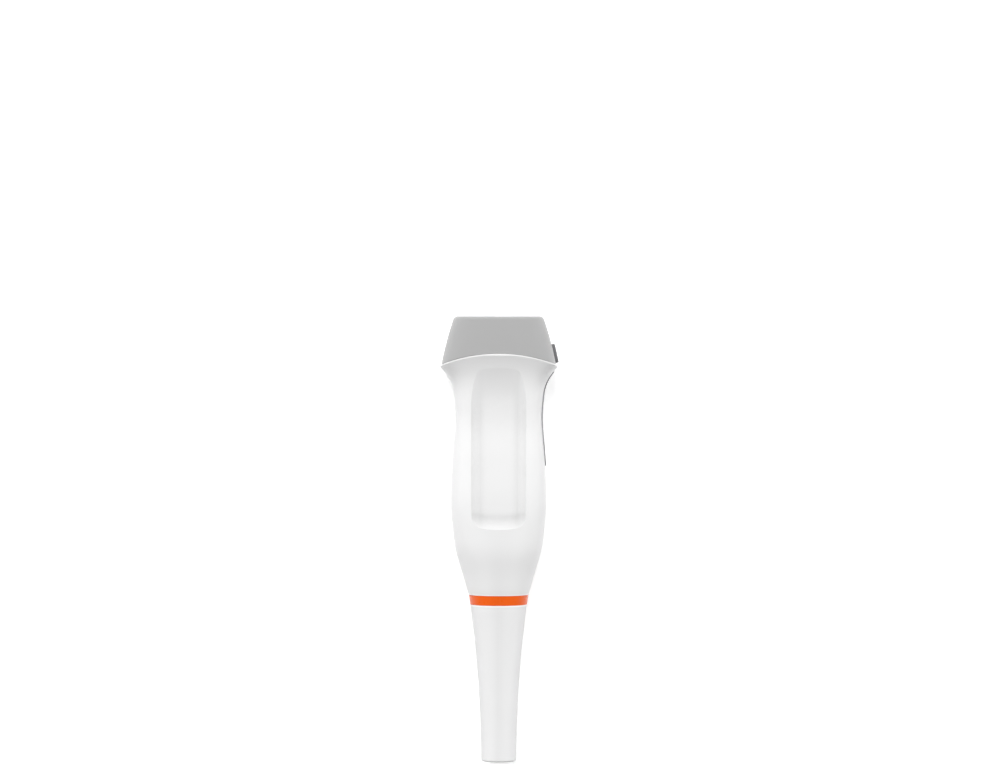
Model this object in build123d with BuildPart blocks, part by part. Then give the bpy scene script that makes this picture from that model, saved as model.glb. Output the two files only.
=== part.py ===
# Ultrasound transducer probe, lying on its back on a table.
# Millimetres, +Z up. +Y points to the scanning face, +X to the marker side, and the front
# face with the thumb recess looks up. The origin is under the middle of the probe.
# Stations are distances along the probe's axis from the tip of the strain relief.

import os

from build123d import *

os.makedirs("parts", exist_ok=True)

# lengths from the strain relief's tip up to the crown of the lens
relief_length = 49.9            # strain relief, as far as the ring
ring_height = 3.1
neck_station = relief_length + ring_height
nose_base = neck_station + 70.0
nose_height = 18.6
total_length = nose_base + nose_height
rest_depth = 13.5               # axis above the table: half depth of collar rim and of hip

# housing, outer form
neck_radius = 9.5
neck_lead = 7.0                 # form drawn on below the neck, then trimmed
neck_slope = 0.33
shoulder_station = neck_station + 8.4
hip_station = neck_station + 16.1
belly_station = neck_station + 29.6
belly_half_width = 15.25
belly_half_depth = 13.78
grip_station = neck_station + 43.0
waist_station = neck_station + 56.5
waist_half_width = 13.8
waist_half_depth = 10.6
flare_station = neck_station + 64.4     # the collar begins to flare here
collar_station = neck_station + 72.0    # the flare meets the rim at the sides
collar_half_width = 18.4
collar_half_depth = 11.85               # depth of the flare at the same station
mouth_station = neck_station + 78.5     # end of the untrimmed form, above the arched rim
mouth_half_width = 27.0
mouth_half_depth = 14.65
section_count = 23
section_grading = 0.45          # sections stand closer towards the collar
wall = 1.8

# arched rim between collar and nose
arch_crown = neck_station + 76.6        # rim in the middle of the front
arch_radius = 50.6
rim_step = 0.35                 # rim of the collar outside the nose
rim_round = 0.35
rim_gap = 0.08                  # seam between rim and nose shoulder

# thumb recess, the same on front and rear
recess_end = neck_station + 20.0
recess_half_width = 11.0
recess_end_depth = 2.1          # floor under the crest of the handle, lower end
recess_waist_depth = 1.75       # the same at the waist
recess_bend = neck_station + 60.0       # the floor starts to sweep out to the collar
recess_merge = neck_station + 75.0      # the floor has run out into the collar
recess_lift = 0.2
recess_points = 15
recess_corner = 5.6
recess_blend = 5.0

# joint of the two housing halves
tongue_height = 0.9
tongue_outer = 0.75             # tongue faces, measured in from the outer skin
tongue_inner = 1.2
tongue_clearance = 0.06
seam_width = 0.2                # fine groove where the halves meet outside
seam_depth = 0.2

# nose
nose_base_half_width = 18.7
nose_base_half_depth = 14.0
nose_top_half_width = 14.05
nose_top_half_depth = 10.0
nose_fullness = 0.93
crown_radius = 121.0            # gentle crown of the scanning face, front to rear
nose_edge_round = 1.5
spigot_end = nose_base - 1.5
spigot_clearance = 0.25
spigot_inset = 1.2              # spigot inside the flank of the nose
pocket_half_width = 11.8
pocket_half_depth = 7.6
pocket_corner = 1.0

# lens
lens_half_width = 12.2
lens_half_depth = 8.1
lens_corner = 2.2
lens_height = 1.6
lens_seat = total_length - lens_height
lens_clearance = 0.05

# seal around the nose spigot
seal_station = spigot_end + 1.8
seal_height = 1.3
seal_depth = 0.8
seal_clearance = 0.28

# orientation marker
marker_length = 6.2
marker_width = 2.6
marker_height = 1.05
marker_sunk = 1.0
marker_round = 0.45
marker_station = nose_base + 6.7
marker_clearance = 0.05

# grey strip on the marker side of the handle
strip_low = neck_station + 41.0
strip_high = neck_station + 71.0
strip_width = 6.0
strip_proud = 0.3
strip_sunk = 0.45
strip_clearance = 0.13

# ring and strain relief
ring_low_radius = 9.1
edge_break = 0.18
relief_tip_radius = 5.6
relief_tip_round = 0.7
relief_spigot_radius = 6.6
spigot_bore_clearance = 0.1
neck_rib = 1.9                  # end wall of the housing that the strain relief hooks behind
flange_radius = 7.9
flange_thickness = 2.0
cable_radius = 3.5
sleeve_radius = 4.4             # wider seat for the cable's crimp sleeve, over the bore
sleeve_station = relief_length - 3.9

# acoustic stack, from the lens down
outer_layer = 0.2
inner_layer = 0.25
foil = 0.08
element_height = 0.45
film = 0.12
backing_height = 8.5
layer_half_width = 10.6
layer_half_depth = 6.95
element_count = 64
element_pitch = 0.32
element_kerf = 0.04
element_half_depth = 6.6
backing_half_width = 10.4
backing_half_depth = 6.65
backing_round = 0.75
film_half_width = 9.4
film_stand = 0.1                # film to the side of the backing
foil_leg = 5.0
foil_stand = 0.45

# carrier, frame, board and screens
carrier_thickness = 1.6
carrier_half_width = 10.8
carrier_half_depth = 6.4
flange_plate = 1.6
flange_half_depth = 4.6
rail_outer = 11.5
rail_inner = 10.2
rail_half_height = 2.0
rail_slot = 0.5
board_low = neck_station + 26.0
board_high = neck_station + 72.4
board_thickness = 1.0
board_clearance = 0.05
socket_low = neck_station + 63.6
socket_length = 3.6
socket_half_width = 10.0
socket_height = 1.9
film_level = 0.96               # film over the board face, in the socket
film_entry = 2.4
header_low = neck_station + 35.0
header_length = 4.0
header_half_width = 8.4
header_height = 2.0
header_groove = 0.8
shield_low = neck_station + 31.4
shield_high = neck_station + 61.6
shield_half_width = 9.7
shield_height = 5.1
shield_sheet = 0.3
shield_notch = 5.0
screw_radius = 0.8
screw_head_radius = 1.5
screw_head = 1.0
screw_clearance = 0.05
carrier_screw_offset = 7.5

# cable saddle and clamp
saddle_low = neck_station + 13.0
saddle_high = neck_station + 23.0
saddle_half_width = 9.2
saddle_depth = 5.0
clamp_gap = 0.3
clamp_low = neck_station + 14.0
clamp_high = neck_station + 20.0
clamp_screw_offset = 6.4
clamp_bore_clearance = 0.1

# ribs that locate the frame in the housing
rib_thickness = 1.4
low_rib = neck_station + 33.0
high_rib = neck_station + 55.0
rib_clearance = 0.1

# reference planes, all with their origin on the axis at the strain relief's tip
tip = (0, -total_length / 2, rest_depth)
axis_plane = Plane(origin=tip, x_dir=(1, 0, 0), z_dir=(0, -1, 0))
side_plane = Plane(origin=tip, x_dir=(0, 1, 0), z_dir=(1, 0, 0))
front_plane = Plane(origin=tip, x_dir=(1, 0, 0), z_dir=(0, 0, 1))
parting_plane = Plane(origin=(0, 0, rest_depth), x_dir=(1, 0, 0), z_dir=(0, 0, 1))


def across(station):
    """Plane square to the axis: width to the right, depth to the front."""
    return axis_plane.offset(-station)


def between(low, high, part):
    """Share of the way from one size to another."""
    return low + (high - low) * part


def profile(station, half_width, half_depth, fullness):
    """Section of four equal curves; the fullness runs from round to nearly square."""
    a = half_width
    b = half_depth
    ka = fullness * half_width
    kb = fullness * half_depth
    with BuildSketch(across(station)) as face:
        with BuildLine():
            Bezier((a, 0), (a, kb), (ka, b), (0, b))
            Bezier((0, b), (-ka, b), (-a, kb), (-a, 0))
            Bezier((-a, 0), (-a, -kb), (-ka, -b), (0, -b))
            Bezier((0, -b), (ka, -b), (a, -kb), (a, 0))
        make_face()
    return face.sketch


round_fullness = 0.5523

# station, half width, half depth and fullness at the named places of the housing
neck_lead_radius = neck_radius - neck_slope * neck_lead
housing_places = [
    (neck_station - neck_lead, neck_lead_radius, neck_lead_radius, round_fullness),
    (neck_station, neck_radius, neck_radius, round_fullness),
    (
        shoulder_station,
        between(neck_radius, belly_half_width, 0.455),
        between(neck_radius, belly_half_depth, 0.5),
        0.6,
    ),
    (
        hip_station,
        between(neck_radius, belly_half_width, 0.792),
        between(neck_radius, belly_half_depth, 0.85),
        0.67,
    ),
    (belly_station, belly_half_width, belly_half_depth, 0.74),
    (
        grip_station,
        between(waist_half_width, belly_half_width, 0.64),
        between(waist_half_depth, belly_half_depth, 0.6),
        0.77,
    ),
    (waist_station, waist_half_width, waist_half_depth, 0.8),
    (
        flare_station,
        between(waist_half_width, collar_half_width, 0.13),
        between(waist_half_depth, collar_half_depth, 0.1),
        0.82,
    ),
    (
        between(flare_station, collar_station, 0.6),
        between(waist_half_width, collar_half_width, 0.49),
        between(waist_half_depth, collar_half_depth, 0.42),
        0.86,
    ),
    (collar_station, collar_half_width, collar_half_depth, 0.91),
    (mouth_station, mouth_half_width, mouth_half_depth, 0.95),
]


def size_at(station, places, column):
    """Smooth size at a station, without overshoot between the named places."""
    us = [place[0] for place in places]
    vs = [place[column] for place in places]
    steps = [(vs[i + 1] - vs[i]) / (us[i + 1] - us[i]) for i in range(len(us) - 1)]
    slopes = [steps[0]]
    for before, after in zip(steps, steps[1:]):
        level = before * after <= 0
        slopes.append(0 if level else 2 * before * after / (before + after))
    slopes.append(steps[-1])
    i = max(j for j in range(len(us) - 1) if station >= us[j] - 1e-9)
    h = us[i + 1] - us[i]
    t = (station - us[i]) / h
    rise = t * t * (3 - 2 * t)
    bend_in = t * (1 - t) * (1 - t)
    bend_out = t * t * (t - 1)
    step = vs[i] + (vs[i + 1] - vs[i]) * rise
    return step + h * (slopes[i] * bend_in + slopes[i + 1] * bend_out)


housing_sections = []
for count in range(section_count):
    t = count / (section_count - 1)
    t = (1 + section_grading) * t - section_grading * t * t
    station = between(neck_station - neck_lead, mouth_station, t)
    sizes = [size_at(station, housing_places, column) for column in (1, 2, 3)]
    housing_sections.append((station, *sizes))


# nose form: share of the way up from the base, and how far the size has drawn in there
nose_shape = ((-0.33, -0.12), (0, 0), (0.3, 0.2), (0.6, 0.49), (0.85, 0.785), (1.06, 1.09))
nose_sections = []
for along, drawn_in in nose_shape:
    nose_sections.append(
        (
            between(nose_base, total_length, along),
            between(nose_base_half_width, nose_top_half_width, drawn_in),
            between(nose_base_half_depth, nose_top_half_depth, drawn_in),
            nose_fullness,
        )
    )


def skin(sections, inset):
    """Smooth solid through the sections, each drawn in by the inset."""
    faces = [profile(u, a - inset, b - inset, k) for u, a, b, k in sections]
    with BuildPart() as form:
        loft(sections=faces)
    return form.part


def recess_drop(station):
    """Depth of the recess floor under the crest of the handle."""
    if station < recess_bend:
        part = (station - recess_end) / (recess_bend - recess_end)
        return between(recess_end_depth, recess_waist_depth, part)
    part = (station - recess_bend) / (recess_merge - recess_bend)
    return between(recess_waist_depth, -recess_lift, part * part * (3 - 2 * part))


def recess(grow):
    """Tool for the thumb recess of the front, grown all round by the given amount."""
    low = recess_end - grow
    stations = [between(low, recess_merge, i / (recess_points - 1)) for i in range(recess_points)]
    crests = [size_at(u, housing_places, 2) for u in stations]
    with BuildPart() as tool:
        with BuildSketch(side_plane):
            with BuildLine():
                floor = Spline(*[(u, c - recess_drop(u) - grow) for u, c in zip(stations, crests)])
                Polyline(
                    floor @ 1,
                    (recess_merge, 2 * rest_depth),
                    (low, 2 * rest_depth),
                    floor @ 0,
                )
            make_face()
        extrude(amount=recess_half_width + grow, both=True)
        corners = tool.edges().filter_by(Axis.Z).group_by(Axis.Y)[0]
        fillet(corners, radius=recess_corner + grow)
        floors = tool.faces().filter_by(lambda f: f.normal_at().Z < -0.5)
        far = tool.part.bounding_box().max.Y
        seen = [edge for face in floors for edge in face.edges()]
        rim = [e for e in seen if sum(e.is_same(o) for o in seen) == 1]
        rim = [e for e in rim if abs(e.center().Y - far) > 0.01]
        fillet(rim, radius=recess_blend + grow)
    return tool.part


def other_side(shape):
    """The same shape on the rear."""
    return mirror(shape, about=parting_plane, mode=Mode.PRIVATE)


def slab(low, high):
    """Everything between two stations."""
    with BuildPart() as block:
        with BuildSketch(across(low)):
            Rectangle(4 * collar_half_width, 4 * collar_half_width)
        extrude(amount=low - high)
    return block.part


def arch(radius):
    """Cylinder whose crest is the arched rim of the collar."""
    with BuildPart() as form:
        with BuildSketch(front_plane):
            with Locations((0, arch_crown - arch_radius)):
                Circle(radius)
        extrude(amount=4 * rest_depth, both=True)
    return form.part


def parting_bar(outer_inset, inner_inset, low, high):
    """Bars along both parting edges, as faces in the parting plane."""
    count = 16
    stations = [between(low, high, i / (count - 1)) for i in range(count)]
    widths = [size_at(u, housing_places, 1) for u in stations]
    with BuildSketch(front_plane) as bars:
        with BuildLine():
            outer = Spline(*[(w - outer_inset, u) for w, u in zip(widths, stations)])
            inner = Spline(*[(w - inner_inset, u) for w, u in zip(widths, stations)])
            Line(outer @ 0, inner @ 0)
            Line(outer @ 1, inner @ 1)
        make_face()
        mirror(about=Plane.YZ)
    return bars.sketch


def core(inset):
    """Inner form of the housing at the given depth, drawn in behind both recesses."""
    form = skin(housing_sections, inset)
    tool = recess(inset)
    with BuildPart() as body:
        add(form)
        add(tool, mode=Mode.SUBTRACT)
        add(other_side(tool), mode=Mode.SUBTRACT)
    return body.part


def strip_outline(grow):
    """Prism of the marker strip, from the axis out through the marker side."""
    with BuildPart() as prism:
        with BuildSketch(side_plane):
            with Locations((between(strip_low, strip_high, 0.5), 0)):
                SlotOverall(strip_high - strip_low + 2 * grow, strip_width + 2 * grow)
        extrude(amount=2 * collar_half_width)
    return prism.part


# forms shared by several pieces
outer_skin = skin(housing_sections, 0)
cavity = core(wall)
spigot_form = core(wall + spigot_clearance)
seal_floor = core(wall + spigot_clearance + seal_depth)
front_recess = recess(0)
rim_arch = arch(arch_radius)
rim_form = skin(nose_sections, -rim_step)
strip_floor = skin(housing_sections, strip_sunk)

# window in each rib of the housing, round frame rails and screening covers
with BuildPart() as rib_plates:
    for station in (low_rib, high_rib):
        with BuildSketch(across(station - rib_thickness / 2)):
            Rectangle(4 * collar_half_width, 4 * collar_half_width)
            Rectangle(
                2 * (rail_outer + rib_clearance),
                board_thickness + 2 * (shield_height + rib_clearance),
                mode=Mode.SUBTRACT,
            )
        extrude(amount=-rib_thickness)

with BuildPart() as hollow:
    add(cavity)
    add(slab(0, neck_station + neck_rib), mode=Mode.SUBTRACT)
    add(rib_plates.part, mode=Mode.SUBTRACT)

with BuildPart() as strip_bed:
    add(strip_outline(strip_clearance))
    add(strip_floor, mode=Mode.SUBTRACT)

# everything outside the rim of the collar
with BuildPart() as collar_trim:
    add(slab(nose_base - 4, total_length))
    add(rim_form, mode=Mode.SUBTRACT)

# whole housing before it is parted
with BuildPart() as casing:
    add(outer_skin)
    add(slab(neck_station, total_length), mode=Mode.INTERSECT)
    add(rim_arch, mode=Mode.INTERSECT)
    add(collar_trim.part, mode=Mode.SUBTRACT)
    top = casing.faces().sort_by(Axis.Y)[-1]
    fillet(top.edges(), radius=rim_round)
    neck_end = casing.faces().sort_by(Axis.Y)[0]
    fillet(neck_end.edges(), radius=edge_break)
    add(front_recess, mode=Mode.SUBTRACT)
    add(other_side(front_recess), mode=Mode.SUBTRACT)
    add(hollow.part, mode=Mode.SUBTRACT)
    with BuildSketch(across(neck_station)):
        Circle(relief_spigot_radius + spigot_bore_clearance)
    extrude(amount=-2 * neck_rib, mode=Mode.SUBTRACT)
    add(strip_bed.part, mode=Mode.SUBTRACT)

# groove along the parting edge of the front half, and the tongue of the rear half in it
tongue_low = neck_station + 1.2
tongue_high = collar_station - 1.5
tongue_bars = parting_bar(tongue_outer, tongue_inner, tongue_low, tongue_high)
slot_bars = parting_bar(
    tongue_outer - tongue_clearance,
    tongue_inner + tongue_clearance,
    tongue_low - tongue_clearance,
    tongue_high + tongue_clearance,
)
with BuildPart() as tongue_slot:
    extrude(to_extrude=slot_bars, amount=tongue_height + tongue_clearance, both=True)

with BuildPart() as tongue:
    extrude(to_extrude=tongue_bars, amount=tongue_height, both=True)

seam_bars = parting_bar(-wall, seam_depth, neck_station - 1, collar_station + 1.5)
with BuildPart() as seam:
    extrude(to_extrude=seam_bars, amount=seam_width / 2, both=True)

with BuildPart() as front_housing:
    add(casing.part)
    split(bisect_by=parting_plane, keep=Keep.TOP)
    add(tongue_slot.part, mode=Mode.SUBTRACT)
    add(seam.part, mode=Mode.SUBTRACT)

with BuildPart() as rear_housing:
    add(casing.part)
    split(bisect_by=parting_plane, keep=Keep.BOTTOM)
    add(tongue.part)
    add(seam.part, mode=Mode.SUBTRACT)

with BuildPart() as marker_strip:
    add(strip_outline(0))
    add(skin(housing_sections, -strip_proud), mode=Mode.INTERSECT)
    add(skin(housing_sections, strip_sunk - strip_clearance), mode=Mode.SUBTRACT)

# crown shared by the nose and the lens
with BuildPart() as crown:
    with BuildSketch(side_plane):
        with Locations((total_length - crown_radius, 0)):
            Circle(crown_radius)
    extrude(amount=2 * collar_half_width, both=True)

# the marker stands square to the flank of the nose
flank_low = size_at(marker_station - marker_length / 2, nose_sections, 1)
flank_high = size_at(marker_station + marker_length / 2, nose_sections, 1)
marker_plane = Plane(
    origin=(
        between(flank_low, flank_high, 0.5),
        marker_station - total_length / 2,
        rest_depth,
    ),
    x_dir=(flank_high - flank_low, marker_length, 0),
    z_dir=(marker_length, flank_low - flank_high, 0),
)

with BuildPart() as marker_bed:
    with BuildSketch(marker_plane.offset(-marker_sunk)):
        SlotOverall(marker_length + 2 * marker_clearance, marker_width + 2 * marker_clearance)
    extrude(amount=3 * marker_sunk)

with BuildPart() as orientation_marker:
    with BuildSketch(marker_plane.offset(-marker_sunk)):
        SlotOverall(marker_length, marker_width)
    extrude(amount=marker_sunk + marker_height)
    outer_face = orientation_marker.faces().sort_by(Axis.X)[-1]
    fillet(outer_face.edges(), radius=marker_round)

with BuildPart() as spigot:
    add(spigot_form)
    add(slab(spigot_end, arch_crown), mode=Mode.INTERSECT)
    add(skin(nose_sections, spigot_inset), mode=Mode.INTERSECT)

with BuildPart() as seal_groove:
    add(slab(seal_station, seal_station + seal_height))
    add(seal_floor, mode=Mode.SUBTRACT)

with BuildPart() as nose_piece:
    add(skin(nose_sections, 0))
    add(crown.part, mode=Mode.INTERSECT)
    add(arch(arch_radius + rim_gap), mode=Mode.SUBTRACT)
    scan_face = nose_piece.faces().sort_by(Axis.Y)[-1]
    fillet(scan_face.edges(), radius=nose_edge_round)
    add(spigot.part)
    add(seal_groove.part, mode=Mode.SUBTRACT)
    with BuildSketch(across(spigot_end)):
        RectangleRounded(2 * pocket_half_width, 2 * pocket_half_depth, pocket_corner)
    extrude(amount=spigot_end - lens_seat, mode=Mode.SUBTRACT)
    with BuildSketch(across(lens_seat)):
        RectangleRounded(
            2 * (lens_half_width + lens_clearance),
            2 * (lens_half_depth + lens_clearance),
            lens_corner,
        )
    extrude(amount=lens_seat - total_length - 1, mode=Mode.SUBTRACT)
    add(marker_bed.part, mode=Mode.SUBTRACT)

seal_outer = core(wall + seal_clearance)
seal_inner = core(wall + spigot_clearance + seal_depth - seal_clearance)
with BuildPart() as nose_seal:
    add(slab(seal_station + seal_clearance, seal_station + seal_height - seal_clearance))
    add(seal_outer, mode=Mode.INTERSECT)
    add(seal_inner, mode=Mode.SUBTRACT)

with BuildPart() as acoustic_lens:
    with BuildSketch(across(lens_seat)):
        RectangleRounded(2 * lens_half_width, 2 * lens_half_depth, lens_corner)
    extrude(amount=lens_seat - total_length - 1)
    add(crown.part, mode=Mode.INTERSECT)

# acoustic stack, stations from the lens seat down
outer_layer_low = lens_seat - outer_layer
inner_layer_low = outer_layer_low - inner_layer
foil_low = inner_layer_low - foil
element_low = foil_low - element_height
film_low = element_low - film
backing_low = film_low - backing_height
carrier_low = backing_low - carrier_thickness
flange_low = carrier_low - flange_plate

with BuildPart() as outer_matching_layer:
    with BuildSketch(across(outer_layer_low)):
        Rectangle(2 * layer_half_width, 2 * layer_half_depth)
    extrude(amount=-outer_layer)

with BuildPart() as inner_matching_layer:
    with BuildSketch(across(inner_layer_low)):
        Rectangle(2 * layer_half_width, 2 * layer_half_depth)
    extrude(amount=-inner_layer)

foil_side = backing_half_depth + foil_stand
foil_level = foil_low + foil / 2
with BuildPart() as ground_foil:
    with BuildSketch(side_plane):
        with BuildLine():
            FilletPolyline(
                (foil_level - foil_leg, foil_side),
                (foil_level, foil_side),
                (foil_level, -foil_side),
                (foil_level - foil_leg, -foil_side),
                radius=0.3,
            )
        trace(line_width=foil)
    extrude(amount=layer_half_width, both=True)

with BuildPart() as piezo_elements:
    with BuildSketch(across(element_low)):
        with GridLocations(element_pitch, 1, element_count, 1):
            Rectangle(element_pitch - element_kerf, 2 * element_half_depth)
    extrude(amount=-element_height)

film_side = backing_half_depth + film_stand + film / 2
film_top = film_low + film / 2
film_plug = board_thickness / 2 + film_level
socket_high = socket_low + socket_length
film_end = socket_high - film_entry + 0.1
bend_high = flange_low - 1.0
bend_low = socket_high + 1.5
with BuildPart() as flex_circuit:
    with BuildSketch(side_plane):
        with BuildLine():
            FilletPolyline(
                (film_end, film_plug),
                (bend_low, film_plug),
                (bend_high, film_side),
                (film_top, film_side),
                (film_top, -film_side),
                (bend_high, -film_side),
                (bend_low, -film_plug),
                (film_end, -film_plug),
                radius=0.8,
            )
        trace(line_width=film)
    extrude(amount=film_half_width, both=True)

with BuildPart() as backing_block:
    with BuildSketch(across(backing_low)):
        Rectangle(2 * backing_half_width, 2 * backing_half_depth)
    extrude(amount=-backing_height)
    upper = backing_block.faces().sort_by(Axis.Y)[-1]
    fillet(upper.edges().filter_by(Axis.X), radius=backing_round)

with BuildPart() as array_carrier:
    with BuildSketch(across(carrier_low)):
        Rectangle(2 * carrier_half_width, 2 * carrier_half_depth)
        with Locations((-carrier_screw_offset, 0), (carrier_screw_offset, 0)):
            Circle(screw_radius + screw_clearance, mode=Mode.SUBTRACT)
    extrude(amount=-carrier_thickness)

with BuildPart() as carrier_screws:
    with BuildSketch(across(flange_low - screw_head)):
        with Locations((-carrier_screw_offset, 0), (carrier_screw_offset, 0)):
            Circle(screw_head_radius)
    extrude(amount=-screw_head)
    with BuildSketch(across(flange_low)):
        with Locations((-carrier_screw_offset, 0), (carrier_screw_offset, 0)):
            Circle(screw_radius)
    extrude(amount=-(flange_plate + 0.9 * carrier_thickness))

board_half_width = rail_inner + rail_slot - board_clearance
rail_middle = between(rail_inner, rail_outer, 0.5)
with BuildPart() as inner_frame:
    with BuildSketch(across(flange_low)):
        Rectangle(2 * rail_outer, 2 * flange_half_depth)
        with Locations((-carrier_screw_offset, 0), (carrier_screw_offset, 0)):
            Circle(screw_radius + screw_clearance, mode=Mode.SUBTRACT)
    extrude(amount=-flange_plate)
    with BuildSketch(front_plane):
        with Locations(
            (-rail_middle, between(saddle_high, flange_low, 0.5)),
            (rail_middle, between(saddle_high, flange_low, 0.5)),
        ):
            Rectangle(rail_outer - rail_inner, flange_low - saddle_high)
    extrude(amount=rail_half_height, both=True)
    with BuildSketch(front_plane):
        with Locations((0, between(saddle_low, saddle_high, 0.5))):
            Rectangle(2 * saddle_half_width, saddle_high - saddle_low)
        with Locations((0, saddle_high - 1.25)):
            Rectangle(2 * rail_outer, 2.5)
    extrude(amount=-saddle_depth)
    with BuildSketch(front_plane):
        for side in (-1, 1):
            with Locations((side * rail_middle, saddle_high - 1.25)):
                Rectangle(rail_outer - rail_inner, 2.5)
    extrude(amount=rail_half_height)
    with BuildSketch(across(saddle_low)):
        Circle(cable_radius + clamp_bore_clearance)
    extrude(amount=saddle_low - saddle_high, mode=Mode.SUBTRACT)
    with BuildSketch(front_plane):
        with Locations((0, between(board_low, board_high, 0.5))):
            Rectangle(
                2 * (rail_inner + rail_slot),
                board_high - board_low + 2 * board_clearance,
            )
    extrude(amount=board_thickness / 2 + board_clearance, both=True, mode=Mode.SUBTRACT)
    with BuildSketch(front_plane):
        with Locations(
            (-clamp_screw_offset, between(clamp_low, clamp_high, 0.5)),
            (clamp_screw_offset, between(clamp_low, clamp_high, 0.5)),
        ):
            Circle(screw_radius + screw_clearance)
    extrude(amount=-saddle_depth, mode=Mode.SUBTRACT)

with BuildPart() as interconnect_board:
    with BuildSketch(front_plane):
        with Locations((0, between(board_low, board_high, 0.5))):
            Rectangle(2 * board_half_width, board_high - board_low)
    extrude(amount=board_thickness / 2, both=True)

board_face = front_plane.offset(board_thickness / 2)

with BuildPart() as front_film_socket:
    with BuildSketch(board_face):
        with Locations((0, between(socket_low, socket_high, 0.5))):
            Rectangle(2 * socket_half_width, socket_length)
    extrude(amount=socket_height)
    with BuildSketch(board_face.offset(film_level - film)):
        with Locations((0, socket_high - film_entry / 2)):
            Rectangle(2 * film_half_width + film, film_entry)
    extrude(amount=2 * film, mode=Mode.SUBTRACT)

with BuildPart() as rear_film_socket:
    add(other_side(front_film_socket.part))

with BuildPart() as front_wire_header:
    with BuildSketch(board_face):
        with Locations((0, header_low + header_length / 2)):
            Rectangle(2 * header_half_width, header_length)
    extrude(amount=header_height)
    with BuildSketch(board_face.offset(header_height)):
        with Locations((0, header_low + header_length / 2)):
            Rectangle(2 * header_half_width - 2 * header_groove, header_groove)
    extrude(amount=-header_groove, mode=Mode.SUBTRACT)

with BuildPart() as rear_wire_header:
    add(other_side(front_wire_header.part))

with BuildPart() as front_shield:
    with BuildSketch(board_face):
        with Locations((0, between(shield_low, shield_high, 0.5))):
            Rectangle(2 * shield_half_width, shield_high - shield_low)
    extrude(amount=shield_height)
    with BuildSketch(board_face):
        with Locations((0, between(shield_low, shield_high, 0.5))):
            Rectangle(
                2 * (shield_half_width - shield_sheet),
                shield_high - shield_low - 2 * shield_sheet,
            )
    extrude(amount=shield_height - shield_sheet, mode=Mode.SUBTRACT)
    with BuildSketch(across(shield_low)):
        with Locations((0, board_thickness / 2)):
            Rectangle(2 * shield_notch, shield_notch)
    extrude(amount=-shield_sheet, mode=Mode.SUBTRACT)

with BuildPart() as rear_shield:
    add(other_side(front_shield.part))

with BuildPart() as cable_clamp:
    with BuildSketch(front_plane.offset(clamp_gap)):
        with Locations((0, between(clamp_low, clamp_high, 0.5))):
            Rectangle(2 * saddle_half_width, clamp_high - clamp_low)
    extrude(amount=saddle_depth - clamp_gap)
    with BuildSketch(across(clamp_low)):
        Circle(cable_radius + clamp_bore_clearance)
    extrude(amount=clamp_low - clamp_high, mode=Mode.SUBTRACT)
    with BuildSketch(front_plane):
        with Locations(
            (-clamp_screw_offset, between(clamp_low, clamp_high, 0.5)),
            (clamp_screw_offset, between(clamp_low, clamp_high, 0.5)),
        ):
            Circle(screw_radius + screw_clearance)
    extrude(amount=saddle_depth, mode=Mode.SUBTRACT)

with BuildPart() as clamp_screws:
    with BuildSketch(front_plane.offset(saddle_depth)):
        with Locations(
            (-clamp_screw_offset, between(clamp_low, clamp_high, 0.5)),
            (clamp_screw_offset, between(clamp_low, clamp_high, 0.5)),
        ):
            Circle(screw_head_radius)
    extrude(amount=screw_head)
    with BuildSketch(front_plane.offset(saddle_depth)):
        with Locations(
            (-clamp_screw_offset, between(clamp_low, clamp_high, 0.5)),
            (clamp_screw_offset, between(clamp_low, clamp_high, 0.5)),
        ):
            Circle(screw_radius)
    extrude(amount=-1.6 * saddle_depth)

# ring and strain relief, turned about the axis
ring_low = neck_station - ring_height
with BuildPart() as colour_ring:
    with BuildSketch(side_plane):
        with BuildLine():
            Polyline(
                (ring_low, relief_spigot_radius + spigot_bore_clearance),
                (ring_low, ring_low_radius),
                (neck_station, neck_radius),
                (neck_station, relief_spigot_radius + spigot_bore_clearance),
                close=True,
            )
        make_face()
    revolve(axis=Axis(tip, (0, 1, 0)))
    rim_edges = colour_ring.edges().filter_by(GeomType.CIRCLE).sort_by(lambda e: e.radius)[-2:]
    fillet(rim_edges, radius=edge_break)

flange_station = neck_station + neck_rib
with BuildPart() as strain_relief:
    with BuildSketch(side_plane):
        with BuildLine():
            taper = Spline(
                (0, relief_tip_radius),
                (0.38 * ring_low, between(relief_tip_radius, ring_low_radius, 0.155)),
                (0.58 * ring_low, between(relief_tip_radius, ring_low_radius, 0.345)),
                (0.78 * ring_low, between(relief_tip_radius, ring_low_radius, 0.61)),
                (ring_low, ring_low_radius),
            )
            Polyline(
                taper @ 1,
                (ring_low, relief_spigot_radius),
                (flange_station, relief_spigot_radius),
                (flange_station, flange_radius),
                (flange_station + flange_thickness, flange_radius),
                (flange_station + flange_thickness, sleeve_radius),
                (sleeve_station, sleeve_radius),
                (sleeve_station, cable_radius),
                (0, cable_radius),
                taper @ 0,
            )
        make_face()
    revolve(axis=Axis(tip, (0, 1, 0)))
    tip_edge = strain_relief.edges().filter_by(GeomType.CIRCLE).group_by(Axis.Y)[0]
    fillet(tip_edge.sort_by(lambda e: e.radius)[-1], radius=relief_tip_round)

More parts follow.
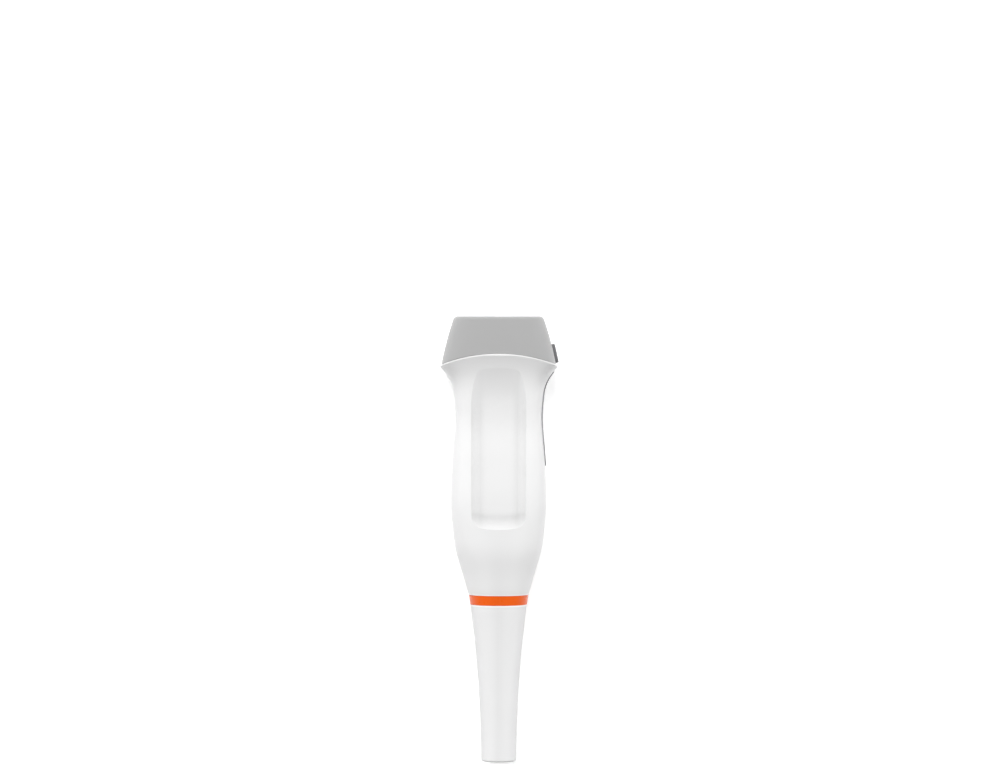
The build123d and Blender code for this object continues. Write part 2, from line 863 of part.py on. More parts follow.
pieces = {
    "front_housing": front_housing,
    "rear_housing": rear_housing,
    "marker_strip": marker_strip,
    "nose_piece": nose_piece,
    "nose_seal": nose_seal,
    "orientation_marker": orientation_marker,
    "acoustic_lens": acoustic_lens,
    "outer_matching_layer": outer_matching_layer,
    "inner_matching_layer": inner_matching_layer,
    "ground_foil": ground_foil,
    "piezo_elements": piezo_elements,
    "flex_circuit": flex_circuit,
    "backing_block": backing_block,
    "array_carrier": array_carrier,
    "carrier_screws": carrier_screws,
    "inner_frame": inner_frame,
    "interconnect_board": interconnect_board,
    "front_film_socket": front_film_socket,
    "rear_film_socket": rear_film_socket,
    "front_wire_header": front_wire_header,
    "rear_wire_header": rear_wire_header,
    "front_shield": front_shield,
    "rear_shield": rear_shield,
    "cable_clamp": cable_clamp,
    "clamp_screws": clamp_screws,
    "colour_ring": colour_ring,
    "strain_relief": strain_relief,
}

for name, piece in pieces.items():
    piece.part.label = name
    export_step(piece.part, f"parts/{name}.step")
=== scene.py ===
import math

import bpy
from mathutils import Matrix, Vector


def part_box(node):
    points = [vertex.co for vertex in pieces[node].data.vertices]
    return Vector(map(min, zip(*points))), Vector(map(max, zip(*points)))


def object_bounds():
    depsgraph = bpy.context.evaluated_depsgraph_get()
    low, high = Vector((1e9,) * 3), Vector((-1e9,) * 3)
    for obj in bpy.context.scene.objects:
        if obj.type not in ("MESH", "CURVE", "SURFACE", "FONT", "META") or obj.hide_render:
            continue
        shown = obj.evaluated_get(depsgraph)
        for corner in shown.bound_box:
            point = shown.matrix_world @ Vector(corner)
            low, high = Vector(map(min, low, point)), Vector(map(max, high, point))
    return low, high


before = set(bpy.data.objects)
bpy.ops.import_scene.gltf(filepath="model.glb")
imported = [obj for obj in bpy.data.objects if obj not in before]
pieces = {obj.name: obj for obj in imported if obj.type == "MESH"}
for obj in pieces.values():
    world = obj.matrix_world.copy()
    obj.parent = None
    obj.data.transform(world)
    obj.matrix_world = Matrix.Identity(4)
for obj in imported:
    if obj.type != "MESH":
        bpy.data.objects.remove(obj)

cad_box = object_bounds()

# Inner frame: the tray that carries everything inside the handle. It is moulded in glass-filled
# nylon, drops into the ribs of the rear shell and is screwed to the array carrier at the nose end.


def linear(code):
    """Gives an sRGB hex colour as the linear colour that a shader socket takes."""
    shares = [int(code[i:i + 2], 16) / 255 for i in (1, 3, 5)]
    return [s / 12.92 if s <= 0.04045 else ((s + 0.055) / 1.055) ** 2.4 for s in shares] + [1]


def add(tree, kind, inputs=None, **settings):
    """Adds one node; inputs maps a socket's name or place to a value or to another node's output."""
    made = tree.nodes.new(kind)
    for name, value in settings.items():
        setattr(made, name, value)
    for socket, value in (inputs or {}).items():
        if isinstance(value, bpy.types.NodeSocket):
            tree.links.new(value, made.inputs[socket])
        else:
            made.inputs[socket].default_value = value
    return made


def open_material(name):
    """Starts an empty material and gives it back with its node tree."""
    made = bpy.data.materials.new(name)
    made.use_nodes = True
    made.node_tree.nodes.clear()
    return made, made.node_tree


def finish_on(material, *names):
    """Puts a material on the slots of the named pieces."""
    for name in names:
        for slot in pieces[name].material_slots:
            slot.material = material


MM = 0.001

# Glass-filled nylon, moulded: dull, with a faint flow pattern where the fibres come to the skin.
frame_nylon, tree = open_material("glass_filled_nylon")
fibre_length = 1.2 * MM
place = add(tree, "ShaderNodeTexCoord").outputs["Object"]
fibres = add(tree, "ShaderNodeTexNoise", {"Vector": place, "Scale": 1 / fibre_length, "Detail": 3})
tone = add(tree, "ShaderNodeValToRGB", {"Fac": fibres.outputs["Fac"]})
tone.color_ramp.elements[0].position = 0.35
tone.color_ramp.elements[0].color = linear("#1D1D20")
tone.color_ramp.elements[1].position = 0.7
tone.color_ramp.elements[1].color = linear("#27272A")
relief = add(tree, "ShaderNodeBump", {"Height": fibres.outputs["Fac"], "Strength": 0.15,
                                      "Distance": 0.05 * MM})
body = add(tree, "ShaderNodeBsdfPrincipled", {"Base Color": tone.outputs["Color"], "Roughness": 0.55,
                                              "IOR": 1.53, "Normal": relief.outputs["Normal"]})
add(tree, "ShaderNodeOutputMaterial", {"Surface": body.outputs["BSDF"]})
finish_on(frame_nylon, "inner_frame")

# Interconnect board: a glass-epoxy laminate under green solder resist. It lies on the ledges of the
# frame, between the two films from the array and the wires of the cable.

# Solder resist over glass cloth: a smooth green gloss, with the weave just showing through.
board_resist, tree = open_material("solder_resist_on_laminate")
weave_pitch = 0.5 * MM
place = add(tree, "ShaderNodeTexCoord").outputs["Object"]
warp = add(tree, "ShaderNodeTexWave", {"Vector": place, "Scale": math.pi / 10 / weave_pitch},
           bands_direction="X")
weft = add(tree, "ShaderNodeTexWave", {"Vector": place, "Scale": math.pi / 10 / weave_pitch},
           bands_direction="Y")
weave = add(tree, "ShaderNodeMath", {0: warp.outputs["Fac"], 1: weft.outputs["Fac"]}, operation="MULTIPLY")
tone = add(tree, "ShaderNodeMix", {"Factor": weave.outputs["Value"], 6: linear("#1E5B39"),
                                   7: linear("#276B45")}, data_type="RGBA")
body = add(tree, "ShaderNodeBsdfPrincipled", {"Base Color": tone.outputs[2], "Roughness": 0.32, "IOR": 1.55})
add(tree, "ShaderNodeOutputMaterial", {"Surface": body.outputs["BSDF"]})
finish_on(board_resist, "interconnect_board")

# Film sockets and wire headers: ivory liquid-crystal polymer blocks soldered to both faces of the
# board. The sockets clamp the ends of the film; the headers take the fine wires of the cable.

# Liquid-crystal polymer, moulded: dull ivory, faintly streaked along the flow of the melt.
connector_polymer, tree = open_material("liquid_crystal_polymer")
flow_width = 0.9 * MM
place = add(tree, "ShaderNodeTexCoord").outputs["Object"]
stretched = add(tree, "ShaderNodeMapping", {"Vector": place, "Scale": (0.2, 1, 1)})
flow = add(tree, "ShaderNodeTexNoise", {"Vector": stretched.outputs["Vector"], "Scale": 1 / flow_width,
                                        "Detail": 2})
tone = add(tree, "ShaderNodeMix", {"Factor": flow.outputs["Fac"], 6: linear("#DCD4C0"),
                                   7: linear("#D5CCB7")}, data_type="RGBA")
body = add(tree, "ShaderNodeBsdfPrincipled", {"Base Color": tone.outputs[2], "Roughness": 0.5, "IOR": 1.65})
add(tree, "ShaderNodeOutputMaterial", {"Surface": body.outputs["BSDF"]})
finish_on(connector_polymer, "front_film_socket", "rear_film_socket", "front_wire_header",
          "rear_wire_header")

# Shields: cans pressed from tinned nickel-silver sheet, soldered over both faces of the board to
# keep stray signals away from the weak echoes.

# Nickel silver, rolled and tinned: pale soft metal, its gloss drawn out along the rolling.
shield_sheet, tree = open_material("tinned_nickel_silver")
rolling_width = 0.4 * MM
place = add(tree, "ShaderNodeTexCoord").outputs["Object"]
stretched = add(tree, "ShaderNodeMapping", {"Vector": place, "Scale": (1, 0.05, 1)})
rolling = add(tree, "ShaderNodeTexNoise", {"Vector": stretched.outputs["Vector"],
                                           "Scale": 1 / rolling_width, "Detail": 2})
dullness = add(tree, "ShaderNodeMapRange", {"Value": rolling.outputs["Fac"], "To Min": 0.26, "To Max": 0.4})
body = add(tree, "ShaderNodeBsdfPrincipled", {"Base Color": linear("#CFCDC6"), "Metallic": 1,
                                              "Roughness": dullness.outputs["Result"]})
add(tree, "ShaderNodeOutputMaterial", {"Surface": body.outputs["BSDF"]})
finish_on(shield_sheet, "front_shield", "rear_shield")

# Array carrier and cable clamp: milled aluminium. The carrier holds the backing block in the nose;
# the clamp grips the cable's jacket so that no pull reaches the wires.

# Aluminium, milled: light grey metal, barred by the steps of the cutter.
milled_aluminium, tree = open_material("milled_aluminium")
cutter_step = 0.35 * MM
place = add(tree, "ShaderNodeTexCoord").outputs["Object"]
marks = add(tree, "ShaderNodeTexWave", {"Vector": place, "Scale": math.pi / 10 / cutter_step,
                                        "Distortion": 1.5, "Detail": 1}, bands_direction="DIAGONAL")
dullness = add(tree, "ShaderNodeMapRange", {"Value": marks.outputs["Fac"], "To Min": 0.3, "To Max": 0.42})
relief = add(tree, "ShaderNodeBump", {"Height": marks.outputs["Fac"], "Strength": 0.1, "Distance": 0.02 * MM})
body = add(tree, "ShaderNodeBsdfPrincipled", {"Base Color": linear("#D6D7D9"), "Metallic": 1,
                                              "Roughness": dullness.outputs["Result"],
                                              "Normal": relief.outputs["Normal"]})
add(tree, "ShaderNodeOutputMaterial", {"Surface": body.outputs["BSDF"]})
finish_on(milled_aluminium, "array_carrier", "cable_clamp")

# Screws: stainless steel socket screws that hold the carrier and the clamp to the frame.
# Their heads are turned, so the light runs round them in fine rings.

# Stainless steel, turned: a darker and harder metal gloss, in fine rings.
screw_steel, tree = open_material("stainless_steel")
turning_pitch = 0.25 * MM
place = add(tree, "ShaderNodeTexCoord").outputs["Object"]
turning = add(tree, "ShaderNodeTexWave", {"Vector": place, "Scale": math.pi / 10 / turning_pitch},
              bands_direction="Y")
dullness = add(tree, "ShaderNodeMapRange", {"Value": turning.outputs["Fac"], "To Min": 0.24, "To Max": 0.34})
body = add(tree, "ShaderNodeBsdfPrincipled", {"Base Color": linear("#C3C3C1"), "Metallic": 1,
                                              "Roughness": dullness.outputs["Result"]})
add(tree, "ShaderNodeOutputMaterial", {"Surface": body.outputs["BSDF"]})
finish_on(screw_steel, "carrier_screws", "clamp_screws")

# Backing block: epoxy loaded with tungsten powder, cast on the back of the array. It soaks up the
# sound that goes the wrong way.

# Epoxy full of tungsten powder, cast: nearly black and flat, mottled where the powder clumps.
loaded_epoxy, tree = open_material("tungsten_loaded_epoxy")
powder_clump = 0.5 * MM
place = add(tree, "ShaderNodeTexCoord").outputs["Object"]
powder = add(tree, "ShaderNodeTexVoronoi", {"Vector": place, "Scale": 1 / powder_clump})
tone = add(tree, "ShaderNodeMix", {"Factor": powder.outputs["Distance"], 6: linear("#37383B"),
                                   7: linear("#2B2C2F")}, data_type="RGBA")
body = add(tree, "ShaderNodeBsdfPrincipled", {"Base Color": tone.outputs[2], "Roughness": 0.6, "IOR": 1.6})
add(tree, "ShaderNodeOutputMaterial", {"Surface": body.outputs["BSDF"]})
finish_on(loaded_epoxy, "backing_block")

# Piezo elements: a fired plate of lead zirconate titanate, sawn into sixty-four narrow bars after it
# is bonded to the film on the backing block.

# Lead zirconate titanate, fired and lapped: pale buff and dull, with a fine grain.
piezo_ceramic, tree = open_material("fired_piezo_ceramic")
grain_size = 0.15 * MM
place = add(tree, "ShaderNodeTexCoord").outputs["Object"]
grain = add(tree, "ShaderNodeTexNoise", {"Vector": place, "Scale": 1 / grain_size, "Detail": 2})
tone = add(tree, "ShaderNodeMix", {"Factor": grain.outputs["Fac"], 6: linear("#C8BDA6"),
                                   7: linear("#B7AB92")}, data_type="RGBA")
body = add(tree, "ShaderNodeBsdfPrincipled", {"Base Color": tone.outputs[2], "Roughness": 0.62, "IOR": 1.9})
add(tree, "ShaderNodeOutputMaterial", {"Surface": body.outputs["BSDF"]})
finish_on(piezo_ceramic, "piezo_elements")

# Flex circuit: polyimide film with copper tracks, one to each element. It is folded round the
# backing block, and its two tails go to the sockets on the board.

# Polyimide film, etched: glossy amber, striped by the darker copper under it.
track_film, tree = open_material("polyimide_film_with_tracks")
track_pitch = 0.64 * MM
place = add(tree, "ShaderNodeTexCoord").outputs["Object"]
tracks = add(tree, "ShaderNodeTexWave", {"Vector": place, "Scale": math.pi / 10 / track_pitch},
             bands_direction="X")
copper = add(tree, "ShaderNodeValToRGB", {"Fac": tracks.outputs["Fac"]})
copper.color_ramp.elements[0].position = 0.45
copper.color_ramp.elements[0].color = linear("#B9772A")
copper.color_ramp.elements[1].position = 0.55
copper.color_ramp.elements[1].color = linear("#8F5A22")
body = add(tree, "ShaderNodeBsdfPrincipled", {"Base Color": copper.outputs["Color"], "Roughness": 0.28,
                                              "IOR": 1.7})
add(tree, "ShaderNodeOutputMaterial", {"Surface": body.outputs["BSDF"]})
finish_on(track_film, "flex_circuit")

# Ground foil: thin rolled copper, folded over the front of the elements as their common electrode.
# It is bonded under the matching layers, and its two legs hang down beside the backing block.

# Copper, rolled: warm metal, its gloss drawn out along the rolling.
rolled_copper, tree = open_material("rolled_copper")
rolling_width = 0.3 * MM
place = add(tree, "ShaderNodeTexCoord").outputs["Object"]
stretched = add(tree, "ShaderNodeMapping", {"Vector": place, "Scale": (0.05, 1, 1)})
rolling = add(tree, "ShaderNodeTexNoise", {"Vector": stretched.outputs["Vector"],
                                           "Scale": 1 / rolling_width, "Detail": 2})
dullness = add(tree, "ShaderNodeMapRange", {"Value": rolling.outputs["Fac"], "To Min": 0.22, "To Max": 0.36})
body = add(tree, "ShaderNodeBsdfPrincipled", {"Base Color": linear("#D09070"), "Metallic": 1,
                                              "Roughness": dullness.outputs["Result"]})
add(tree, "ShaderNodeOutputMaterial", {"Surface": body.outputs["BSDF"]})
finish_on(rolled_copper, "ground_foil")

# Matching layers: two lapped sheets of filled epoxy between the elements and the lens. Each is a
# quarter of a wavelength thick, so that the sound passes into the skin instead of turning back.

# Filled epoxy, lapped flat: brownish grey and dull, speckled by the filler.
lapped_epoxy, tree = open_material("lapped_filled_epoxy")
filler_size = 0.3 * MM
place = add(tree, "ShaderNodeTexCoord").outputs["Object"]
filler = add(tree, "ShaderNodeTexNoise", {"Vector": place, "Scale": 1 / filler_size, "Detail": 4})
tone = add(tree, "ShaderNodeMix", {"Factor": filler.outputs["Fac"], 6: linear("#5E574C"),
                                   7: linear("#6C6559")}, data_type="RGBA")
body = add(tree, "ShaderNodeBsdfPrincipled", {"Base Color": tone.outputs[2], "Roughness": 0.5, "IOR": 1.58})
add(tree, "ShaderNodeOutputMaterial", {"Surface": body.outputs["BSDF"]})
finish_on(lapped_epoxy, "inner_matching_layer", "outer_matching_layer")

# Nose: the grey head that holds the array, moulded in a hard medical plastic that takes
# disinfectant. Its spigot plugs into the mouth of the handle.

# Polysulfone, moulded in a spark-eroded tool: mid grey with a broad, soft sheen.
nose_plastic, tree = open_material("moulded_polysulfone")
mould_grain = 0.6 * MM      # spark-eroded grain of about a tenth of this, drawn coarser to show
cloud_width = 9 * MM
place = add(tree, "ShaderNodeTexCoord").outputs["Object"]
grain = add(tree, "ShaderNodeTexNoise", {"Vector": place, "Scale": 1 / mould_grain, "Detail": 3})
clouds = add(tree, "ShaderNodeTexNoise", {"Vector": place, "Scale": 1 / cloud_width, "Detail": 2})
tone = add(tree, "ShaderNodeMix", {"Factor": clouds.outputs["Fac"], 6: linear("#ACACAC"),
                                   7: linear("#A9A9A9")}, data_type="RGBA")
dullness = add(tree, "ShaderNodeMapRange", {"Value": grain.outputs["Fac"], "To Min": 0.36, "To Max": 0.5})
relief = add(tree, "ShaderNodeBump", {"Height": grain.outputs["Fac"], "Strength": 0.06,
                                      "Distance": 0.03 * MM})
body = add(tree, "ShaderNodeBsdfPrincipled", {"Base Color": tone.outputs[2], "IOR": 1.63,
                                              "Roughness": dullness.outputs["Result"],
                                              "Normal": relief.outputs["Normal"]})
add(tree, "ShaderNodeOutputMaterial", {"Surface": body.outputs["BSDF"]})
finish_on(nose_plastic, "nose_piece")

# Lens: a low crown of cast silicone rubber bonded into the open end of the nose. It touches the
# skin and brings the beam to a focus.

# Silicone, cast: a bluer and darker grey than the nose, and a little light passes into it.
lens_silicone, tree = open_material("cast_silicone")
cloud_width = 5 * MM
skin_grain = 0.5 * MM
place = add(tree, "ShaderNodeTexCoord").outputs["Object"]
clouds = add(tree, "ShaderNodeTexNoise", {"Vector": place, "Scale": 1 / cloud_width, "Detail": 3})
skin = add(tree, "ShaderNodeTexNoise", {"Vector": place, "Scale": 1 / skin_grain, "Detail": 2})
tone = add(tree, "ShaderNodeMix", {"Factor": clouds.outputs["Fac"], 6: linear("#9A9CA0"),
                                   7: linear("#94969A")}, data_type="RGBA")
dullness = add(tree, "ShaderNodeMapRange", {"Value": skin.outputs["Fac"], "To Min": 0.4, "To Max": 0.5})
body = add(tree, "ShaderNodeBsdfPrincipled", {"Base Color": tone.outputs[2], "IOR": 1.41,
                                              "Roughness": dullness.outputs["Result"],
                                              "Subsurface Weight": 0.15, "Subsurface Scale": 0.6 * MM})
add(tree, "ShaderNodeOutputMaterial", {"Surface": body.outputs["BSDF"]})
finish_on(lens_silicone, "acoustic_lens")

# Nose seal: a black nitrile ring in the groove of the spigot, squeezed by the mouth of the handle
# so that gel and disinfectant stay out.

# Nitrile rubber, moulded: black and dull, with a faint bloom.
seal_rubber, tree = open_material("nitrile_rubber")
bloom_width = 0.8 * MM
place = add(tree, "ShaderNodeTexCoord").outputs["Object"]
bloom = add(tree, "ShaderNodeTexNoise", {"Vector": place, "Scale": 1 / bloom_width, "Detail": 3})
tone = add(tree, "ShaderNodeMix", {"Factor": bloom.outputs["Fac"], 6: linear("#1D1D1D"),
                                   7: linear("#2B2B2B")}, data_type="RGBA")
body = add(tree, "ShaderNodeBsdfPrincipled", {"Base Color": tone.outputs[2], "Roughness": 0.65, "IOR": 1.52})
add(tree, "ShaderNodeOutputMaterial", {"Surface": body.outputs["BSDF"]})
finish_on(seal_rubber, "nose_seal")

# Housing: two shells moulded in a white blend of polycarbonate and ABS, joined on a tongue along
# both sides. They close over the flange of the strain relief and the spigot of the nose.

# Polycarbonate and ABS, moulded in a spark-eroded tool: an even satin white.
housing_plastic, tree = open_material("moulded_polycarbonate_abs")
mould_grain = 0.6 * MM      # spark-eroded grain of about a tenth of this, drawn coarser to show
cloud_width = 16 * MM
hollow_width = 4 * MM       # hollows this wide get painted shade, a grey that deepens their soft shade
painted_shade_low = -0.5 * MM       # the painted shade lies along the sides of the thumb recess, between these two places
painted_shade_high = 50 * MM
painted_shade_fade = 9 * MM         # length over which it comes and goes
neck_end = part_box("front_housing")[0][1]
painted_highlight_width = 0.3 * MM    # width of a painted highlight along the rounded edge next to the ring
place = add(tree, "ShaderNodeTexCoord").outputs["Object"]
grain = add(tree, "ShaderNodeTexNoise", {"Vector": place, "Scale": 1 / mould_grain, "Detail": 3})
clouds = add(tree, "ShaderNodeTexNoise", {"Vector": place, "Scale": 1 / cloud_width, "Detail": 2})
tone = add(tree, "ShaderNodeMix", {"Factor": clouds.outputs["Fac"], 6: linear("#F1F1F1"),
                                   7: linear("#EDEDED")}, data_type="RGBA")
# Painted shade: the occlusion of the hollows turns the white towards grey along the recess.
occlusion_shade = add(tree, "ShaderNodeAmbientOcclusion", {"Distance": hollow_width}, samples=32, only_local=True)
painted_shade = add(tree, "ShaderNodeMapRange", {"Value": occlusion_shade.outputs["AO"], "From Min": 1.0, "From Max": 0.87})
along = add(tree, "ShaderNodeSeparateXYZ", {"Vector": place})
above = add(tree, "ShaderNodeMapRange", {"Value": along.outputs["Y"], "From Min": painted_shade_low,
                                         "From Max": painted_shade_low + painted_shade_fade})
below = add(tree, "ShaderNodeMapRange", {"Value": along.outputs["Y"], "From Min": painted_shade_high,
                                         "From Max": painted_shade_high - painted_shade_fade})
painted_shade = add(tree, "ShaderNodeMath", {0: painted_shade.outputs["Result"], 1: above.outputs["Result"]},
            operation="MULTIPLY")
painted_shade = add(tree, "ShaderNodeMath", {0: painted_shade.outputs["Value"], 1: below.outputs["Result"]},
            operation="MULTIPLY")
# mixes in the grey of the painted shade
tone = add(tree, "ShaderNodeMix", {"Factor": painted_shade.outputs["Value"], 6: tone.outputs[2],
                                   7: linear("#8E8E8D")}, data_type="RGBA")
# Painted highlight: a white band along the rounded edge of the neck next to the ring.
painted_highlight = add(tree, "ShaderNodeMapRange", {"Value": along.outputs["Y"], "From Min": neck_end + 2 * painted_highlight_width,
                                        "From Max": neck_end + painted_highlight_width})
tone = add(tree, "ShaderNodeMix", {"Factor": painted_highlight.outputs["Result"], 6: tone.outputs[2],
                                   7: linear("#FFFFFF")}, data_type="RGBA")
dullness = add(tree, "ShaderNodeMapRange", {"Value": grain.outputs["Fac"], "To Min": 0.32, "To Max": 0.44})
relief = add(tree, "ShaderNodeBump", {"Height": grain.outputs["Fac"], "Strength": 0.05,
                                      "Distance": 0.03 * MM})
body = add(tree, "ShaderNodeBsdfPrincipled", {"Base Color": tone.outputs[2], "IOR": 1.55,
                                              "Roughness": dullness.outputs["Result"],
                                              "Normal": relief.outputs["Normal"]})
add(tree, "ShaderNodeOutputMaterial", {"Surface": body.outputs["BSDF"]})
finish_on(housing_plastic, "front_housing", "rear_housing")

# Orientation marker: a dark grey bar of moulded plastic let into the right side of the nose. The
# thumb finds it, and it tells which side of the picture is which.

# Acetal, moulded: dark grey and slightly waxy.
marker_plastic, tree = open_material("moulded_acetal")
mould_grain = 0.4 * MM
place = add(tree, "ShaderNodeTexCoord").outputs["Object"]
grain = add(tree, "ShaderNodeTexNoise", {"Vector": place, "Scale": 1 / mould_grain, "Detail": 2})
tone = add(tree, "ShaderNodeMix", {"Factor": grain.outputs["Fac"], 6: linear("#6C6C6E"),
                                   7: linear("#757577")}, data_type="RGBA")
body = add(tree, "ShaderNodeBsdfPrincipled", {"Base Color": tone.outputs[2], "Roughness": 0.42, "IOR": 1.48})
add(tree, "ShaderNodeOutputMaterial", {"Surface": body.outputs["BSDF"]})
finish_on(marker_plastic, "orientation_marker")

# Side strip: a thin ribbon of grey elastomer moulded into a bed on the right side of the handle,
# in line with the marker, for the finger to follow.

# Thermoplastic elastomer, moulded: mid grey and dull, faintly clouded where it is rubbed.
strip_elastomer, tree = open_material("thermoplastic_elastomer_grey")
rub_width = 1.4 * MM
place = add(tree, "ShaderNodeTexCoord").outputs["Object"]
rub = add(tree, "ShaderNodeTexNoise", {"Vector": place, "Scale": 1 / rub_width, "Detail": 3})
tone = add(tree, "ShaderNodeMix", {"Factor": rub.outputs["Fac"], 6: linear("#9A9A9C"),
                                   7: linear("#A2A2A4")}, data_type="RGBA")
body = add(tree, "ShaderNodeBsdfPrincipled", {"Base Color": tone.outputs[2], "Roughness": 0.6, "IOR": 1.5})
add(tree, "ShaderNodeOutputMaterial", {"Surface": body.outputs["BSDF"]})
finish_on(strip_elastomer, "marker_strip")

# Colour ring: a band of glossy orange plastic trapped between the neck of the handle and the strain
# relief. Its colour tells probes of one kind from another.

# ABS dyed through, moulded in a polished tool: a strong orange, glossier than the shells.
ring_plastic, tree = open_material("dyed_abs_orange")
polish_width = 1.0 * MM
place = add(tree, "ShaderNodeTexCoord").outputs["Object"]
polish = add(tree, "ShaderNodeTexNoise", {"Vector": place, "Scale": 1 / polish_width, "Detail": 2})
tone = add(tree, "ShaderNodeMix", {"Factor": polish.outputs["Fac"], 6: linear("#F16314"),
                                   7: linear("#EC5E12")}, data_type="RGBA")
dullness = add(tree, "ShaderNodeMapRange", {"Value": polish.outputs["Fac"], "To Min": 0.24, "To Max": 0.34})
body = add(tree, "ShaderNodeBsdfPrincipled", {"Base Color": tone.outputs[2], "IOR": 1.53,
                                              "Specular IOR Level": 0.25,
                                              "Roughness": dullness.outputs["Result"]})
add(tree, "ShaderNodeOutputMaterial", {"Surface": body.outputs["BSDF"]})
finish_on(ring_plastic, "colour_ring")

# Strain relief: a tapered boot of soft white elastomer, held by its flange behind the neck. The
# cable runs through it, and it keeps the cable from being bent sharply where it leaves the handle.

# Thermoplastic elastomer, moulded: white, softer and duller than the shells beside it.
boot_elastomer, tree = open_material("thermoplastic_elastomer_white")
cloud_width = 12 * MM
skin_grain = 0.7 * MM       # the real grain is finer; drawn coarser to show
ring_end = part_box("colour_ring")[0][1]
place = add(tree, "ShaderNodeTexCoord").outputs["Object"]
clouds = add(tree, "ShaderNodeTexNoise", {"Vector": place, "Scale": 1 / cloud_width, "Detail": 2})
skin = add(tree, "ShaderNodeTexNoise", {"Vector": place, "Scale": 1 / skin_grain, "Detail": 3})
tone = add(tree, "ShaderNodeMix", {"Factor": clouds.outputs["Fac"], 6: linear("#EFEFEF"),
                                   7: linear("#ECECEC")}, data_type="RGBA")
along = add(tree, "ShaderNodeSeparateXYZ", {"Vector": place})
# Painted highlight: a white band along the boot's edge next to the ring.
painted_highlight = add(tree, "ShaderNodeMapRange", {"Value": along.outputs["Y"], "From Min": ring_end - 2 * painted_highlight_width,
                                        "From Max": ring_end - painted_highlight_width})
tone = add(tree, "ShaderNodeMix", {"Factor": painted_highlight.outputs["Result"], 6: tone.outputs[2],
                                   7: linear("#FFFFFF")}, data_type="RGBA")
dullness = add(tree, "ShaderNodeMapRange", {"Value": skin.outputs["Fac"], "To Min": 0.44, "To Max": 0.56})
relief = add(tree, "ShaderNodeBump", {"Height": skin.outputs["Fac"], "Strength": 0.05, "Distance": 0.03 * MM})
body = add(tree, "ShaderNodeBsdfPrincipled", {"Base Color": tone.outputs[2], "IOR": 1.5,
                                              "Roughness": dullness.outputs["Result"],
                                              "Normal": relief.outputs["Normal"]})
add(tree, "ShaderNodeOutputMaterial", {"Surface": body.outputs["BSDF"]})
finish_on(boot_elastomer, "strain_relief")

# Table: a sheet of white paper under the probe. It shines as plain white to the eye and to glossy
# surfaces, and gives the probe a paper's bounce light and keeps its shadow.

table_half = 2.0
table_mesh = bpy.data.meshes.new("table_sheet")
table_mesh.from_pydata([(-table_half, -table_half, 0), (table_half, -table_half, 0),
                        (table_half, table_half, 0), (-table_half, table_half, 0)], [], [(0, 1, 2, 3)])
table = bpy.data.objects.new("table_sheet", table_mesh)
bpy.context.collection.objects.link(table)
lowest = min(corner[2] for corner in cad_box)
table_mesh.transform(Matrix.Translation((0, 0, lowest)))

# Paper, pressed: matt white, faintly clouded by its fibres.
white_paper, tree = open_material("white_paper")
fibre_size = 1.5 * MM
paper_shine = 0.65          # brings the lit sheet up to plain white
place = add(tree, "ShaderNodeTexCoord").outputs["Object"]
fibres = add(tree, "ShaderNodeTexNoise", {"Vector": place, "Scale": 1 / fibre_size, "Detail": 2})
tone = add(tree, "ShaderNodeMix", {"Factor": fibres.outputs["Fac"], 6: linear("#E7E7E7"),
                                   7: linear("#E5E5E5")}, data_type="RGBA")
sheet = add(tree, "ShaderNodeBsdfDiffuse", {"Color": tone.outputs[2]})
path = add(tree, "ShaderNodeLightPath")
seen = add(tree, "ShaderNodeMath", {0: path.outputs["Is Camera Ray"], 1: path.outputs["Is Glossy Ray"]},
           operation="ADD")
seen = add(tree, "ShaderNodeMath", {0: seen.outputs["Value"], 1: path.outputs["Is Transmission Ray"]},
           operation="ADD", use_clamp=True)
level = add(tree, "ShaderNodeMath", {0: seen.outputs["Value"], 1: paper_shine}, operation="MULTIPLY")
shine = add(tree, "ShaderNodeEmission", {"Strength": level.outputs["Value"]})
both = add(tree, "ShaderNodeAddShader", {0: sheet.outputs["BSDF"], 1: shine.outputs["Emission"]})
add(tree, "ShaderNodeOutputMaterial", {"Surface": both.outputs["Shader"]})
table_mesh.materials.append(white_paper)

# Light: one soft panel overhead, towards the nose, a low panel at each side that draws a light edge
# along the probe, a narrow beam on the tail, and the pale room round them.


def hang_panel(name, where, size, watts):
    """Hangs a soft panel that faces the probe; glossy skins mirror the room instead of it."""
    lamp = bpy.data.lights.new(name, "AREA")
    lamp.shape = "RECTANGLE"
    lamp.size, lamp.size_y = size
    lamp.energy = watts
    hung = bpy.data.objects.new(name, lamp)
    hung.location = where
    hung.rotation_euler = (-Vector(where)).to_track_quat("-Z", "Y").to_euler()
    hung.visible_glossy = False
    bpy.context.collection.objects.link(hung)


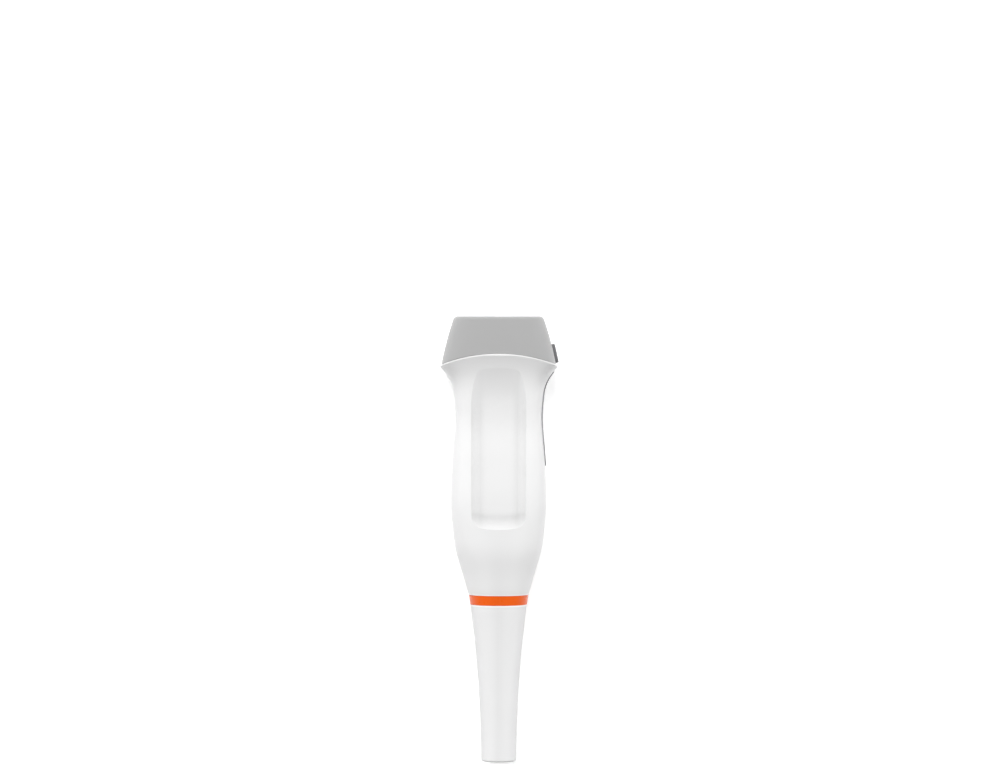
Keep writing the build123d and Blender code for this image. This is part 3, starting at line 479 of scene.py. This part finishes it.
hang_panel("overhead_panel", (-0.13, 0.77, 1.32), (0.5, 0.5), 21.2)
hang_panel("left_panel", (-1.2, 0.15, 0.1), (0.6, 0.16), 3.9)
hang_panel("right_panel", (1.2, 0.15, 0.1), (0.6, 0.16), 5.0)

# A snooted lamp lifts the strain relief and the lower end of the handle, which lean from the panel.
beam = bpy.data.lights.new("tail_beam", "SPOT")
beam.energy = 23.6
beam.spot_size = math.radians(7)
beam.spot_blend = 1
beam.shadow_soft_size = 0.1
tail_beam = bpy.data.objects.new("tail_beam", beam)
tail_beam.location = (0, -0.046, 1.3)
tail_beam.visible_glossy = False
bpy.context.collection.objects.link(tail_beam)

room_fill = 0.12            # light that the room gives; to the eye and to gloss it is plain white
room = bpy.data.worlds.new("pale_room")
bpy.context.scene.world = room
room.use_nodes = True
tree = room.node_tree
tree.nodes.clear()
path = add(tree, "ShaderNodeLightPath")
seen = add(tree, "ShaderNodeMath", {0: path.outputs["Is Camera Ray"], 1: path.outputs["Is Glossy Ray"]},
           operation="ADD")
seen = add(tree, "ShaderNodeMath", {0: seen.outputs["Value"], 1: path.outputs["Is Transmission Ray"]},
           operation="ADD", use_clamp=True)
level = add(tree, "ShaderNodeMapRange", {"Value": seen.outputs["Value"], "To Min": room_fill, "To Max": 1.0})
shine = add(tree, "ShaderNodeBackground", {"Strength": level.outputs["Result"]})
add(tree, "ShaderNodeOutputWorld", {"Surface": shine.outputs["Background"]})

# Camera: straight above the probe, with the nose towards the top of the picture. Its lens is long,
# so the near and far parts of the probe are drawn at nearly one scale.

picture_width = 1000
axis_level = 13.5 * MM
pixels_per_metre = 3140
eye_height = 1.15
axis_column = 498.7
middle_y = 49.88 * MM

eye = bpy.data.cameras.new("overhead_camera")
eye.sensor_width = 36
eye.lens = eye.sensor_width * pixels_per_metre * eye_height / picture_width
eye.clip_start = 0.05
eye.clip_end = 10
overhead = bpy.data.objects.new("overhead_camera", eye)
overhead.location = ((picture_width / 2 - axis_column) / pixels_per_metre, middle_y, axis_level + eye_height)
overhead.rotation_euler = (0, 0, 0)
bpy.context.collection.objects.link(overhead)
bpy.context.scene.camera = overhead
bpy.context.scene.view_settings.view_transform = "Standard"
